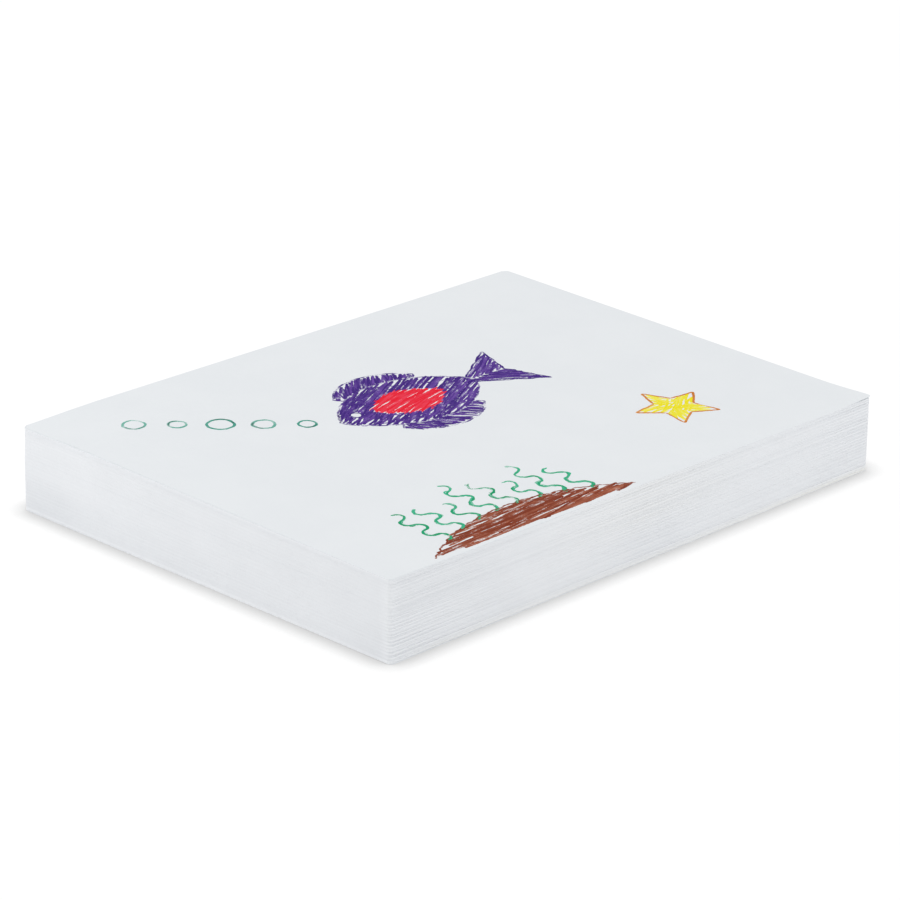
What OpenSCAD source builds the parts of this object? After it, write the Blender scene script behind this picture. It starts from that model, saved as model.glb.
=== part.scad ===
// Pack of white drawing paper: about 300 loose sheets, 12 by 9 inches, in a pile that was knocked
// up by hand, with a wax crayon drawing of a fish on the top sheet.
// The origin is on the table, under the middle of the pack. X runs along the long edges, Y along
// the short edges towards the top of the drawing, and Z up.

/* [Sheets] */
// Long edge of a sheet
sheet_l = 304.8; // [270:0.1:460]
// Short edge of a sheet
sheet_w = 228.6; // [200:0.1:300]
// Thickness of one sheet
sheet_t = 0.11; // [0.08:0.005:0.3]
// Number of sheets in the pack
sheet_count = 300; // [100:1:600]
// Air left between one sheet and the next in the middle of the pile
air_t = 0.015; // [0.012:0.001:0.04]

/* [Pile] */
// Height by which the air lifts the back left corner, and by which it is missing at the front right
swell = 2.4; // [0:0.1:3]
// Number of sheets that slip together and form one ridge on the walls
ridge_sheets = 5; // [5:1:15]
// Furthest that a ridge slips along the long edges, either way
slip_l = 0.45; // [0.1:0.05:1.5]
// Furthest that a ridge slips along the short edges, either way
slip_w = 0.4; // [0.1:0.05:1.5]
// Share of that slip which the top ridges still have
top_calm = 0.4; // [0.1:0.05:1]

/* [Loose sheets] */
// Turn of the top sheet on the pile, in degrees
top_turn = -0.14; // [-0.4:0.02:0.4]
// Slip of the top sheet along the long edges
top_slip_l = 0.3; // [-1:0.05:1]
// Slip of the top sheet along the short edges
top_slip_w = -0.15; // [-1:0.05:1]
// Turn of the sheet under the top one, in degrees
under_turn = 0.12; // [-0.4:0.02:0.4]
// Slip of the sheet under the top one along the long edges
under_slip = -0.2; // [-1:0.05:1]
// Turn of the lowest sheet, in degrees
bottom_turn = 0.08; // [-0.4:0.02:0.4]
// Slip of the lowest sheet along the short edges
bottom_slip = -0.25; // [-1:0.05:1]

/* [Crayon] */
// Thickness of the wax on the paper
wax_t = 0.06; // [0.04:0.01:0.2]
// Width of a crayon line
line_w = 1.5; // [0.8:0.1:3]

/* [Fish] */
// Middle of the fish's body along the long edges
fish_x = -6; // [-20:1:20]
// Middle of the fish's body along the short edges
fish_y = 22; // [10:1:30]
// Length of the body
body_l = 84; // [60:1:100]
// Height of the body
body_h = 48; // [36:1:60]
// Length of the tail behind the body
tail_l = 27; // [15:1:40]
// Height of the tail at its end
tail_h = 44; // [20:1:60]
// Depth of the notch in the tail's end
tail_notch = 8; // [2:1:12]
// Length by which the tail reaches into the body
tail_root = 8; // [4:1:12]
// Length of a fin along the body
fin_l = 50; // [30:1:56]
// Height of a fin above the body
fin_h = 11; // [6:1:20]
// Length of the red patch on the body
patch_l = 44; // [20:1:50]
// Height of the red patch on the body
patch_h = 27; // [12:1:32]
// Diameter of the eye
eye_d = 5; // [3:0.5:6]
// Distance from the nose to the middle of the eye
eye_back = 12; // [10:1:15]
// Height of the eye above the middle of the body
eye_up = 3; // [0:0.5:4]

/* [Bubbles] */
// Number of bubbles
bubble_count = 5; // [2:1:5]
// Diameter of the smallest bubbles
bubble_d = 8; // [6:0.5:10]
// Growth from one size of bubble to the next
bubble_grow = 2; // [0:0.5:2.5]
// Distance from one bubble to the next
bubble_gap = 19; // [18:0.5:20]
// Angle at which the bubbles rise, in degrees
bubble_rise = 41; // [35:1:50]
// Distance from the nose to the middle of the first bubble
bubble_start = 15; // [12:1:18]

/* [Sea bed] */
// Middle of the sea bed along the long edges
bed_x = -62; // [-70:1:-50]
// Length of the sea bed
bed_l = 122; // [90:1:130]
// Height of the sea bed
bed_h = 20; // [12:1:26]
// Distance from the sea bed to the lower edge of the sheet
bed_edge = 3; // [1:0.5:8]

/* [Weeds] */
// Number of stems
stem_count = 8; // [3:1:10]
// Length of the row of stems
weed_row = 86; // [60:1:88]
// Radius of one bend of a stem
weed_r = 3.4; // [2.5:0.1:3.6]
// Number of bends in the tallest stem
bend_count = 5; // [4:1:6]

/* [Starfish] */
// Middle of the starfish along the long edges
star_x = 78; // [65:1:100]
// Middle of the starfish along the short edges
star_y = -62; // [-75:1:-40]
// Distance from the middle to the tip of an arm
star_r = 21; // [16:1:26]
// Distance from the middle to the hollow between two arms
hollow_r = 10; // [8:0.5:12]
// Number of arms
arm_count = 5; // [5:1:7]

/* [Hidden] */
$fn = 96;

// Height of the pile of paper in its middle
pack_h = sheet_count * sheet_t + (sheet_count - 1) * air_t;
// Height that one sheet takes up, with the air above it
pitch = sheet_t + air_t;
// Underside and upper side of the block
block_z = pitch;
block_top = pack_h - sheet_t - pitch;
// Sheets that lie loose above and below the block
loose_sheets = 3;
// Number of ridges, and the height of one in the middle of the pile
ridges = round((sheet_count - loose_sheets) / ridge_sheets);
ridge_h = (block_top - block_z) / ridges;
// Height by which a ridge laps into the one below, and its height where the pile is highest
lap = ridge_h / 20;
ridge_reach = ridge_h + swell / ridges + lap;
// Tilt of the top of the block about the X and the Y axis, in degrees
tilt_x = atan(swell / sheet_w);
tilt_y = atan(swell / sheet_l);
// Turn from one ridge's slip to the next, in degrees: the golden angle never repeats
golden = 137.508;
// Turn between the slips along the two edges, in degrees
quarter = 90;
// Lower edge of the sea bed on the sheet
bed_y = bed_edge - sheet_w / 2;
// Number of bubble sizes and of stem heights, which come in turn
sizes = 3;
// Reach past a cut, so that no sliver is left on it
past = 1;

paper = [0.96, 0.97, 0.98];
paper_edge = [0.93, 0.94, 0.95];
purple = [0.36, 0.2, 0.56];
red = [0.88, 0.14, 0.26];
teal = [0.3, 0.62, 0.55];
green = [0.1, 0.62, 0.42];
brown = [0.56, 0.27, 0.19];
yellow = [0.96, 0.93, 0.12];
orange = [0.86, 0.52, 0.2];

// Share of the furthest slip that a ridge still has: ridges lie calmer towards the top
function calm(i) = 1 - (1 - top_calm) * (i - 1) / (ridges - 1);

// Slip of ridge i, as a share of the furthest slip
function slip(i, phase) = calm(i) * sin(golden * i + phase);

// Radius of the two arcs of a lens, l long and h high
function lens_r(l, h) = (l * l + h * h) / (4 * h);

// Height of the sea bed's surface above its lower edge, x from its middle
function bed_top(x) = let (r = lens_r(bed_l, 2 * bed_h)) sqrt(r * r - x * x) - r + bed_h;

// One sheet, or several, centred on the origin, with the underside at z
module sheet(z, t) {
    translate([-sheet_l / 2, -sheet_w / 2, z]) cube([sheet_l, sheet_w, t]);
}

// Lays children on the pile, z up from the table: the sheets fan out with the height
module on_pile(z) {
    share = (z - block_z) / (block_top - block_z);
    translate([0, 0, z]) rotate([share * tilt_x, share * tilt_y, 0]) children();
}

// Puts the top sheet, and the drawing on it, where they lie on the block
module on_block() {
    on_pile(block_top) translate([top_slip_l, top_slip_w, pitch]) rotate(top_turn) children();
}

// A field of wax on the top sheet
module wax() {
    on_block() translate([0, 0, sheet_t]) linear_extrude(wax_t) children();
}

// A lens between two equal arcs, l long and h high
module lens(l, h) {
    r = lens_r(l, h);
    intersection() {
        translate([0, h / 2 - r]) circle(r);
        translate([0, r - h / 2]) circle(r);
    }
}

// A ring of one crayon line, d across the middle of the line
module ring(d) {
    difference() {
        circle(d = d + line_w);
        circle(d = d - line_w);
    }
}

// The lowest sheet, which shows as a thin pale line on the table
module bottom_sheet() {
    color(paper) translate([0, bottom_slip, 0]) rotate(bottom_turn) sheet(0, pitch);
}

// The pile between the loose sheets: a ridge is a few sheets that slipped together. It hangs from
// its upper side and laps into the ridge below, so that the pile is one solid
module sheet_block() {
    color(paper_edge) difference() {
        for (i = [1 : ridges])
            on_pile(block_z + i * ridge_h)
                translate([slip_l * slip(i, 0), slip_w * slip(i, quarter), 0])
                    sheet(-ridge_reach, ridge_reach);
        translate([-sheet_l, -sheet_w, block_z - pack_h]) cube([2 * sheet_l, 2 * sheet_w, pack_h]);
    }
}

// The sheet under the top one, turned the other way so that its edge shows
module under_sheet() {
    color(paper_edge) on_pile(block_top)
        translate([under_slip, 0, 0]) rotate(under_turn) sheet(0, pitch);
}

// The sheet that carries the drawing
module top_sheet() {
    color(paper) on_block() sheet(0, sheet_t);
}

// Outline of the body with its two fins and the tail
module fish_outline() {
    lens(body_l, body_h);
    for (side = [-1, 1])
        translate([0, side * (body_h / 2 - line_w)]) lens(fin_l, 2 * (fin_h + line_w));
    translate([body_l / 2, 0]) polygon([
        [-tail_root, 0],
        [tail_l, tail_h / 2],
        [tail_l - tail_notch, 0],
        [tail_l, -tail_h / 2]]);
}

// Purple body, fins and tail, open at the patch and at the eye
module crayon_fish() {
    color(purple) wax() translate([fish_x, fish_y]) difference() {
        fish_outline();
        lens(patch_l, patch_h);
        translate([eye_back - body_l / 2, eye_up]) circle(d = eye_d);
    }
}

// Red patch in the opening on the fish's body
module crayon_fish_patch() {
    color(red) wax() translate([fish_x, fish_y]) lens(patch_l, patch_h);
}

// Bubbles that rise from the fish's mouth towards the corner
module crayon_bubbles() {
    color(teal) wax() translate([fish_x - body_l / 2, fish_y])
        for (i = [0 : bubble_count - 1])
            rotate(-bubble_rise) translate([-bubble_start - i * bubble_gap, 0])
                ring(bubble_d + (i % sizes) * bubble_grow);
}

// Outline of the sea bed: the upper half of a flat lens
module bed_outline() {
    translate([bed_x, bed_y]) intersection() {
        lens(bed_l, 2 * bed_h);
        translate([-bed_l / 2 - past, 0]) square([bed_l + 2 * past, bed_h + past]);
    }
}

// Brown ground along the lower edge of the sheet
module crayon_sea_bed() {
    color(brown) wax() bed_outline();
}

// A stem of half rings that bend right and left in turn
module stem(bends) {
    reach = weed_r + line_w;
    for (k = [0 : bends - 1])
        translate([0, (2 * k + 1) * weed_r]) intersection() {
            ring(2 * weed_r);
            translate([k % 2 == 0 ? 0 : -reach, -reach]) square([reach, 2 * reach]);
        }
}

// Weeds that grow from the surface of the sea bed, tall, middling and short in turn
module crayon_weeds() {
    color(green) wax() difference() {
        for (i = [0 : stem_count - 1])
            let (x = weed_row * (i / (stem_count - 1) - 0.5))
                translate([bed_x + x, bed_y + bed_top(x)]) stem(bend_count - i % sizes);
        bed_outline();
    }
}

// Outline of the starfish: arms out to r, and hollows between them at inner
module star_outline(r, inner) {
    polygon([for (i = [0 : 2 * arm_count - 1])
        let (a = 90 + i * 180 / arm_count, d = i % 2 == 0 ? r : inner) [d * cos(a), d * sin(a)]]);
}

// Inside of the starfish, within its edge line
module star_inside() {
    star_outline(star_r - 2 * line_w, hollow_r - line_w);
}

// Yellow inside of the starfish
module crayon_starfish() {
    color(yellow) wax() translate([star_x, star_y]) star_inside();
}

// Orange line around the starfish
module crayon_starfish_edge() {
    color(orange) wax() translate([star_x, star_y]) difference() {
        star_outline(star_r, hollow_r);
        star_inside();
    }
}

bottom_sheet();
sheet_block();
under_sheet();
top_sheet();
crayon_fish();
crayon_fish_patch();
crayon_bubbles();
crayon_weeds();
crayon_sea_bed();
crayon_starfish();
crayon_starfish_edge();
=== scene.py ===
"""Looks of a pack of drawing paper with a crayon drawing on its top sheet.

All sizes are in metres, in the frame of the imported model: X along the sheets' long side, Y along
their short side, and Z up from the table. Sizes of the drawing are in millimetres on the sheet.
"""

from __future__ import annotations

import logging
import math
import random
from collections.abc import Sequence
from dataclasses import dataclass, field
from enum import Enum

import bpy
import numpy as np
from mathutils import Matrix, Vector

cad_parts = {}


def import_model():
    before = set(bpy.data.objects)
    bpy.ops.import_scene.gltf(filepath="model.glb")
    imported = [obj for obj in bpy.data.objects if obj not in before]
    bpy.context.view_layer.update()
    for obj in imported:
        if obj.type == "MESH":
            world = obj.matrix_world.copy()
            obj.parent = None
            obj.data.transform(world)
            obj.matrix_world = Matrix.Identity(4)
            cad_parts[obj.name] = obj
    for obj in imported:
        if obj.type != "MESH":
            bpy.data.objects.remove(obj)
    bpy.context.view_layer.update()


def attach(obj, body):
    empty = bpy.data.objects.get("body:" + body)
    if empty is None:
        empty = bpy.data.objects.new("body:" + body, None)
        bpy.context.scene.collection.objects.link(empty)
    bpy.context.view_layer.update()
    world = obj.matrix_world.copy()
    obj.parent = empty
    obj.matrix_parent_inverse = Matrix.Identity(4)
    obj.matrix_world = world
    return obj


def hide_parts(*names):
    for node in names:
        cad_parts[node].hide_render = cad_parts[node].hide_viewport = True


LOG = logging.getLogger("drawing_paper")
MM = 0.001
ROOT = "root"
TONE = "sheet_tone"
WAX = "wax"

Colour = tuple[float, float, float]
Point = tuple[float, float]
Array = np.ndarray
Socket = bpy.types.NodeSocket


class Slot(Enum):
    """Material slots of the record."""

    PAPER = "paper"
    EDGES = "paper_edges"
    PURPLE = "purple_wax"
    RED = "red_wax"
    TEAL = "teal_wax"
    GREEN = "green_wax"
    BROWN = "brown_wax"
    YELLOW = "yellow_wax"
    ORANGE = "orange_wax"


def blend(edge_0: float, edge_1: float, value: Array) -> Array:
    """Smooth step from 0 at edge_0 to 1 at edge_1.

    Args:
        edge_0: Where the step starts.
        edge_1: Where the step ends.
        value: Numbers to look up.

    Returns:
        The step at each number, from 0 to 1.
    """
    share = np.clip((np.asarray(value, float) - edge_0) / (edge_1 - edge_0), 0.0, 1.0)
    return share * share * (3.0 - 2.0 * share)


def new_object(name: str, data: bpy.types.ID) -> bpy.types.Object:
    """Puts a new object in the scene.

    Args:
        name: Name of the object.
        data: Its mesh, lamp or camera.

    Returns:
        The object.
    """
    made = bpy.data.objects.new(name, data)
    bpy.context.scene.collection.objects.link(made)
    return made


# Shader nodes


@dataclass
class NodeSheet:
    """Adds nodes to one node tree and joins them."""

    tree: bpy.types.NodeTree

    def add(self, kind: str, inputs: dict | None = None, **settings: object) -> bpy.types.Node:
        """Adds a node.

        Args:
            kind: Node type, such as "ShaderNodeMath".
            inputs: Value or source socket of each input, by its name or number.
            settings: Properties of the node itself.

        Returns:
            The new node.
        """
        node = self.tree.nodes.new(kind)
        for name, value in settings.items():
            setattr(node, name, value)
        for key, value in (inputs or {}).items():
            socket = node.inputs[key]
            if isinstance(value, Socket):
                self.tree.links.new(value, socket)
            else:
                socket.default_value = value
        return node

    def maths(self, operation: str, first: object, second: object = 0.0, clamp: bool = False) -> Socket:
        """Adds a Math node.

        Args:
            operation: Its operation, such as "MULTIPLY".
            first: First value or socket.
            second: Second value or socket.
            clamp: Whether the result is kept from 0 to 1.

        Returns:
            Its output.
        """
        node = self.add("ShaderNodeMath", {0: first, 1: second}, operation=operation, use_clamp=clamp)
        return node.outputs[0]

    def mix(self, factor: object, first: object, second: object) -> Socket:
        """Adds a colour Mix node.

        Args:
            factor: Share of the second colour.
            first: First colour or socket.
            second: Second colour or socket.

        Returns:
            Its colour output.
        """
        node = self.add("ShaderNodeMix", {0: factor}, data_type="RGBA")
        for socket, value in ((node.inputs[6], first), (node.inputs[7], second)):
            if isinstance(value, Socket):
                self.tree.links.new(value, socket)
            else:
                socket.default_value = (*value, 1.0)
        return node.outputs[2]

    def noise(self, vector: Socket, scale: object, detail: float, rough: float = 0.5) -> Socket:
        """Adds a Noise Texture node.

        Args:
            vector: Where it is looked up.
            scale: Its scale, or a socket with it.
            detail: Number of finer layers.
            rough: Strength of the finer layers.

        Returns:
            Its factor output.
        """
        inputs = {"Vector": vector, "Scale": scale, "Detail": detail, "Roughness": rough}
        return self.add("ShaderNodeTexNoise", inputs).outputs["Fac"]

    def ramp(
        self, value: object, low: float, high: float, to_low: float = 0.0, to_high: float = 1.0
    ) -> Socket:
        """Adds a smooth Map Range node.

        Args:
            value: Value or socket that is mapped.
            low: Value that gives to_low.
            high: Value that gives to_high.
            to_low: Result at low.
            to_high: Result at high.

        Returns:
            Its output.
        """
        inputs = {0: value, 1: low, 2: high, 3: to_low, 4: to_high}
        return self.add("ShaderNodeMapRange", inputs, interpolation_type="SMOOTHSTEP").outputs[0]

    def finish(self, shader: bpy.types.Node, colour: Socket, rough: Socket, bump: dict, gloss: float) -> None:
        """Joins a colour, a roughness and a fine relief to a material's shader.

        Args:
            shader: The shader.
            colour: Its colour.
            rough: Its roughness.
            bump: Inputs of the Bump node: strength, distance and height.
            gloss: Its specular level.
        """
        self.tree.links.new(colour, shader.inputs["Base Color"])
        self.tree.links.new(rough, shader.inputs["Roughness"])
        relief = self.add("ShaderNodeBump", bump)
        self.tree.links.new(relief.outputs[0], shader.inputs["Normal"])
        shader.inputs["Specular IOR Level"].default_value = gloss


def new_group(
    name: str, inputs: dict[str, object], outputs: Sequence[tuple[str, str]]
) -> tuple[NodeSheet, bpy.types.Node, bpy.types.Node]:
    """Starts a node group.

    Args:
        name: Name of the group.
        inputs: Default of each input by its name: a number or a colour.
        outputs: Name and kind, "Float" or "Color", of each output.

    Returns:
        The group's node sheet, its input node and its output node.
    """
    group = bpy.data.node_groups.new(name, "ShaderNodeTree")
    for label, default in inputs.items():
        kind = "NodeSocketColor" if isinstance(default, tuple) else "NodeSocketFloat"
        socket = group.interface.new_socket(label, in_out="INPUT", socket_type=kind)
        socket.default_value = (*default, 1.0) if isinstance(default, tuple) else default
    for label, kind in outputs:
        group.interface.new_socket(label, in_out="OUTPUT", socket_type=f"NodeSocket{kind}")
    sheet = NodeSheet(group)
    return sheet, sheet.add("NodeGroupInput"), sheet.add("NodeGroupOutput")


def paper_tooth_group() -> bpy.types.NodeTree:
    """Makes the tooth of drawing paper: the small rough grain that catches the wax.

    Returns:
        The group. Height is the grain, and Cloud the soft uneven tone of the sheet.
    """
    sheet, start, end = new_group(
        "paper_tooth",
        {"Grain Scale": 2600.0, "Cloud Scale": 45.0},
        (("Height", "Float"), ("Cloud", "Float")),
    )
    where = sheet.add("ShaderNodeTexCoord").outputs["Object"]
    grain = sheet.noise(where, start.outputs["Grain Scale"], 3.0, 0.62)
    coarse_scale = sheet.maths("MULTIPLY", start.outputs["Grain Scale"], 0.28)
    coarse = sheet.noise(where, coarse_scale, 2.0)
    lie = {"Vector": where, "Scale": (1.0, 0.32, 1.0), "Rotation": (0.0, 0.0, 0.7)}
    fibre_place = sheet.add("ShaderNodeMapping", lie)
    fibre = sheet.noise(fibre_place.outputs[0], coarse_scale, 4.0, 0.7)
    height = sheet.maths("ADD", sheet.maths("MULTIPLY", grain, 0.5), sheet.maths("MULTIPLY", coarse, 0.3))
    height = sheet.maths("ADD", height, sheet.maths("MULTIPLY", fibre, 0.2))
    cloud = sheet.noise(where, start.outputs["Cloud Scale"], 3.0)
    sheet.tree.links.new(height, end.inputs["Height"])
    sheet.tree.links.new(sheet.ramp(cloud, 0.32, 0.68), end.inputs["Cloud"])
    return sheet.tree


def wax_break_group(tooth: bpy.types.NodeTree) -> bpy.types.NodeTree:
    """Makes crayon wax that breaks up over the paper's tooth.

    The mesh attribute "wax" gives each stroke its pressure (red), its own tone (green) and how far a
    point is from the stroke's middle (blue).

    Args:
        tooth: The group of the paper's tooth.

    Returns:
        The group, with the wax's colour, roughness and height.
    """
    sheet, start, end = new_group(
        "wax_break",
        {"Deep": (0.1, 0.05, 0.3), "Pale": (0.4, 0.3, 0.6), "Paper": (0.8, 0.8, 0.8), "Grain Scale": 1900.0},
        (("Color", "Color"), ("Roughness", "Float"), ("Height", "Float")),
    )
    stroke = sheet.add("ShaderNodeAttribute", attribute_name=WAX, attribute_type="GEOMETRY")
    parts = sheet.add("ShaderNodeSeparateColor", {0: stroke.outputs["Color"]})
    pressure, tone, side = parts.outputs[0], parts.outputs[1], parts.outputs[2]
    grain = sheet.add("ShaderNodeGroup", node_tree=tooth)
    sheet.tree.links.new(start.outputs["Grain Scale"], grain.inputs["Grain Scale"])
    grain.inputs["Cloud Scale"].default_value = 160.0
    reach = sheet.maths("SUBTRACT", pressure, sheet.maths("MULTIPLY", sheet.maths("POWER", side, 3.0), 0.22))
    reach = sheet.maths("ADD", reach, sheet.maths("MULTIPLY", grain.outputs["Cloud"], 0.1))
    valley = sheet.maths("SUBTRACT", reach, grain.outputs["Height"])
    cover = sheet.ramp(valley, -0.22, 0.06)
    lump = sheet.ramp(sheet.maths("ADD", tone, sheet.maths("MULTIPLY", valley, 0.5)), 0.15, 1.0)
    wax = sheet.mix(lump, start.outputs["Pale"], start.outputs["Deep"])
    colour = sheet.mix(cover, start.outputs["Paper"], wax)
    sheet.tree.links.new(colour, end.inputs["Color"])
    sheet.tree.links.new(sheet.ramp(cover, 0.0, 1.0, 0.88, 0.5), end.inputs["Roughness"])
    sheet.tree.links.new(sheet.maths("ADD", cover, grain.outputs["Height"]), end.inputs["Height"])
    return sheet.tree


def new_material(name: str) -> tuple[bpy.types.Material, NodeSheet, bpy.types.Node]:
    """Starts a material.

    Args:
        name: Name of the material.

    Returns:
        The material, its node sheet and its shader.
    """
    material = bpy.data.materials.new(name)
    material.use_nodes = True
    material.node_tree.nodes.clear()
    sheet = NodeSheet(material.node_tree)
    shader = sheet.add("ShaderNodeBsdfPrincipled")
    sheet.add("ShaderNodeOutputMaterial", {"Surface": shader.outputs[0]})
    return material, sheet, shader


@dataclass(frozen=True)
class PaperFinish:
    """Matt uncoated drawing paper."""

    light: Colour = (0.840, 0.866, 0.888)
    shade: Colour = (0.820, 0.847, 0.872)
    relief: float = 0.03 * MM
    gloss: float = 0.22

    def make(self, tooth: bpy.types.NodeTree) -> bpy.types.Material:
        """Makes the material.

        Args:
            tooth: The group of the paper's tooth.

        Returns:
            The material of a sheet.
        """
        material, sheet, shader = new_material(Slot.PAPER.value)
        grain = sheet.add("ShaderNodeGroup", {"Grain Scale": 2600.0, "Cloud Scale": 38.0}, node_tree=tooth)
        speck = sheet.ramp(grain.outputs["Height"], 0.36, 0.62, 0.0, 0.35)
        share = sheet.maths("ADD", sheet.maths("MULTIPLY", grain.outputs["Cloud"], 0.65), speck, clamp=True)
        colour = sheet.mix(share, self.shade, self.light)
        rough = sheet.ramp(grain.outputs["Height"], 0.3, 0.7, 0.84, 0.96)
        bump = {"Strength": 0.5, "Distance": self.relief, "Height": grain.outputs["Height"]}
        sheet.finish(shader, colour, rough, bump, self.gloss)
        return material


@dataclass(frozen=True)
class EdgeFinish:
    """Cut edges of many sheets, with fine lines, painted light and shade, and the dust that they gather."""

    light: Colour = (0.90, 0.915, 0.936)
    shade: Colour = (0.685, 0.706, 0.736)
    dust: Colour = (0.89, 0.88, 0.83)
    relief: float = 0.015 * MM
    gloss: float = 0.2

    def make(self, tooth: bpy.types.NodeTree) -> bpy.types.Material:
        """Makes the material.

        Args:
            tooth: The group of the paper's tooth.

        Returns:
            The material of the pile's walls.
        """
        material, sheet, shader = new_material(Slot.EDGES.value)
        tone = sheet.add("ShaderNodeAttribute", attribute_name=TONE, attribute_type="GEOMETRY")
        parts = sheet.add("ShaderNodeSeparateColor", {0: tone.outputs["Color"]})
        where = sheet.add("ShaderNodeTexCoord").outputs["Object"]
        fade = sheet.ramp(sheet.noise(where, 16.0, 2.0), 0.3, 0.7, 0.7, 1.0)
        # The tone's red is the edges' darkness, painted shade and highlights included; its green is dust.
        line = sheet.maths("MULTIPLY", parts.outputs[0], fade)
        grain = sheet.add("ShaderNodeGroup", {"Grain Scale": 3200.0, "Cloud Scale": 60.0}, node_tree=tooth)
        share = sheet.maths("ADD", line, sheet.maths("MULTIPLY", grain.outputs["Cloud"], 0.04), clamp=True)
        clean = sheet.mix(share, self.light, self.shade)
        colour = sheet.mix(parts.outputs[1], clean, self.dust)
        rough = sheet.ramp(grain.outputs["Height"], 0.3, 0.7, 0.86, 0.97)
        bump = {"Strength": 0.2, "Distance": self.relief, "Height": grain.outputs["Height"]}
        sheet.finish(shader, colour, rough, bump, self.gloss)
        return material


@dataclass(frozen=True)
class WaxFinish:
    """Crayon wax of one colour."""

    slot: Slot
    deep: Colour
    pale: Colour
    grain: float = 1900.0
    relief: float = 0.03 * MM
    gloss: float = 0.03

    def make(self, wax_break: bpy.types.NodeTree, paper: Colour) -> bpy.types.Material:
        """Makes the material.

        Args:
            wax_break: The group of broken wax.
            paper: Colour of the bare paper between the wax.

        Returns:
            The material of this colour's strokes.
        """
        material, sheet, shader = new_material(self.slot.value)
        wax = sheet.add("ShaderNodeGroup", node_tree=wax_break)
        wax.inputs["Grain Scale"].default_value = self.grain
        for name, colour in (("Deep", self.deep), ("Pale", self.pale), ("Paper", paper)):
            wax.inputs[name].default_value = (*colour, 1.0)
        bump = {"Strength": 0.5, "Distance": self.relief, "Height": wax.outputs["Height"]}
        sheet.finish(shader, wax.outputs["Color"], wax.outputs["Roughness"], bump, self.gloss)
        return material


WAXES = (
    WaxFinish(Slot.PURPLE, (0.045, 0.010, 0.20), (0.17, 0.075, 0.40)),
    WaxFinish(Slot.RED, (0.83, 0.004, 0.026), (0.88, 0.075, 0.13)),
    WaxFinish(Slot.TEAL, (0.045, 0.31, 0.23), (0.22, 0.52, 0.43)),
    WaxFinish(Slot.GREEN, (0.0, 0.32, 0.13), (0.06, 0.50, 0.29)),
    WaxFinish(Slot.BROWN, (0.22, 0.036, 0.012), (0.47, 0.16, 0.09)),
    WaxFinish(Slot.YELLOW, (0.88, 0.78, 0.006), (0.92, 0.87, 0.14)),
    WaxFinish(Slot.ORANGE, (0.60, 0.18, 0.02), (0.78, 0.38, 0.12)),
)


@dataclass
class Palette:
    """All materials by their slot."""

    paper: PaperFinish = field(default_factory=PaperFinish)
    edges: EdgeFinish = field(default_factory=EdgeFinish)
    made: dict[Slot, bpy.types.Material] = field(default_factory=dict)

    def build(self) -> None:
        """Makes the node groups once and every material from them."""
        tooth = paper_tooth_group()
        wax_break = wax_break_group(tooth)
        self.made[Slot.PAPER] = self.paper.make(tooth)
        self.made[Slot.EDGES] = self.edges.make(tooth)
        for wax in WAXES:
            self.made[wax.slot] = wax.make(wax_break, self.paper.light)

    def dress(self, piece: bpy.types.Object, slot: Slot, *nodes: str) -> None:
        """Gives a piece its material, and places it in the frame.

        Args:
            piece: The new piece.
            slot: Slot that its finish comes from.
            nodes: CAD nodes that it stands for.
        """
        piece.data.materials.clear()
        piece.data.materials.append(self.made[slot])
        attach(piece, ROOT)
        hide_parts(*nodes)
        triangles = sum(len(face.vertices) - 2 for face in piece.data.polygons)
        LOG.info("%s: %d triangles, %s", piece.name, triangles, slot.value)


# Sheets


@dataclass(frozen=True)
class PackSizes:
    """Sizes of the pack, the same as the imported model's."""

    sheet_l: float = 304.8 * MM
    sheet_w: float = 228.6 * MM
    sheet_t: float = 0.11 * MM
    sheet_count: int = 300
    air_t: float = 0.015 * MM
    swell: float = 2.4 * MM
    wax_t: float = 0.06 * MM
    corner_r: float = 2.0 * MM

    @property
    def pitch(self) -> float:
        """Height of one sheet with its air."""
        return self.sheet_t + self.air_t

    @property
    def block_z(self) -> float:
        """Underside of the pile on the lowest sheet."""
        return self.pitch

    @property
    def block_top(self) -> float:
        """Top of the pile below the last two sheets."""
        return self.pitch * (self.sheet_count - 2)


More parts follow.
